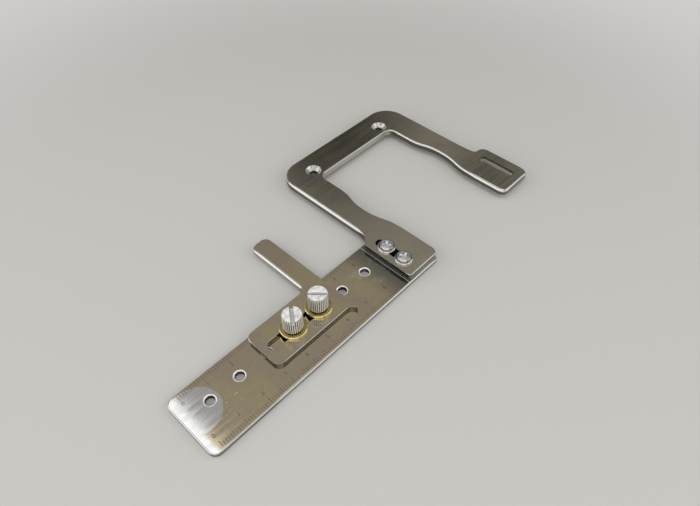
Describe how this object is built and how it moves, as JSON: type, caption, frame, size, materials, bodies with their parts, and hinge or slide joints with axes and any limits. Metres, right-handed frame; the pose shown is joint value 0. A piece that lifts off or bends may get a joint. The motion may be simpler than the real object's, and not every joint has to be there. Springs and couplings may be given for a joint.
{
  "type": "buttonhole ruler",
  "caption": "Graduated steel ruler on a C-shaped bracket, with a slotted sliding stop plate that knurled thumb screws clamp along a row of tapped holes.",
  "frame": {"origin": "centre of the bounding box in X and Y, at the underside of the ruler plate", "axes": "+X along the ruler towards the bracket, +Y from the ruler towards the bracket's web, +Z out of the graduated face"},
  "size_m": [0.1754, 0.08, 0.0119],
  "materials": {
    "ruler_steel": "brushed lengthwise, with fine scratches and a polished edge",
    "stop_steel": "brushed, with a tumbled edge",
    "bracket_steel": "satin face, with rounded and polished edges",
    "washer_brass": "plain, slightly tarnished",
    "knob_nickel": "bright nickel plate over a knurl",
    "screw_zinc": "bright zinc plate"
  },
  "bodies": {
    "bracket": {"bracket": "bracket_steel"},
    "ruler": {"ruler_plate": "ruler_steel"},
    "bracket_screw_right": {"bracket_screw_right": "screw_zinc"},
    "bracket_screw_left": {"bracket_screw_left": "screw_zinc"},
    "stop": {"stop_plate": "stop_steel"},
    "washer_near": {"washer_near": "washer_brass"},
    "washer_far": {"washer_far": "washer_brass"},
    "thumb_screw_near": {"thumb_screw_near": "knob_nickel"},
    "thumb_screw_far": {"thumb_screw_far": "knob_nickel"}
  },
  "joints": [
    {"name": "ruler_slide", "type": "slide", "parent": "bracket", "child": "ruler", "axis": [0, 1, 0], "range_m": [-0.0014, 0.0031]},
    {"name": "bracket_screw_right_turn", "type": "hinge", "parent": "ruler", "child": "bracket_screw_right", "pos_m": [0.01045, -0.0319, 0.005], "axis": [0, 0, 1], "range_deg": [0, 360]},
    {"name": "bracket_screw_left_turn", "type": "hinge", "parent": "ruler", "child": "bracket_screw_left", "pos_m": [0.01045, -0.0232, 0.005], "axis": [0, 0, 1], "range_deg": [0, 360]},
    {"name": "stop_slide", "type": "slide", "parent": "ruler", "child": "stop", "axis": [1, 0, 0], "range_m": [-0.0028, 0.0093]},
    {"name": "washer_near_lift", "type": "slide", "parent": "ruler", "child": "washer_near", "axis": [0, 0, 1], "range_m": [0, 0.0014]},
    {"name": "thumb_screw_near_turn", "type": "hinge", "parent": "washer_near", "child": "thumb_screw_near", "pos_m": [-0.03975, -0.0238, 0.0046], "axis": [0, 0, 1], "range_deg": [0, 720]},
    {"name": "washer_far_lift", "type": "slide", "parent": "ruler", "child": "washer_far", "axis": [0, 0, 1], "range_m": [0, 0.0014]},
    {"name": "thumb_screw_far_turn", "type": "hinge", "parent": "washer_far", "child": "thumb_screw_far", "pos_m": [-0.02745, -0.0238, 0.0046], "axis": [0, 0, 1], "range_deg": [0, 720]}
  ],
  "couplings": [
    {"joint": "thumb_screw_near_turn", "follows": "washer_near_lift", "rad_per_m": 8976},
    {"joint": "thumb_screw_far_turn", "follows": "washer_far_lift", "rad_per_m": 8976}
  ]
}
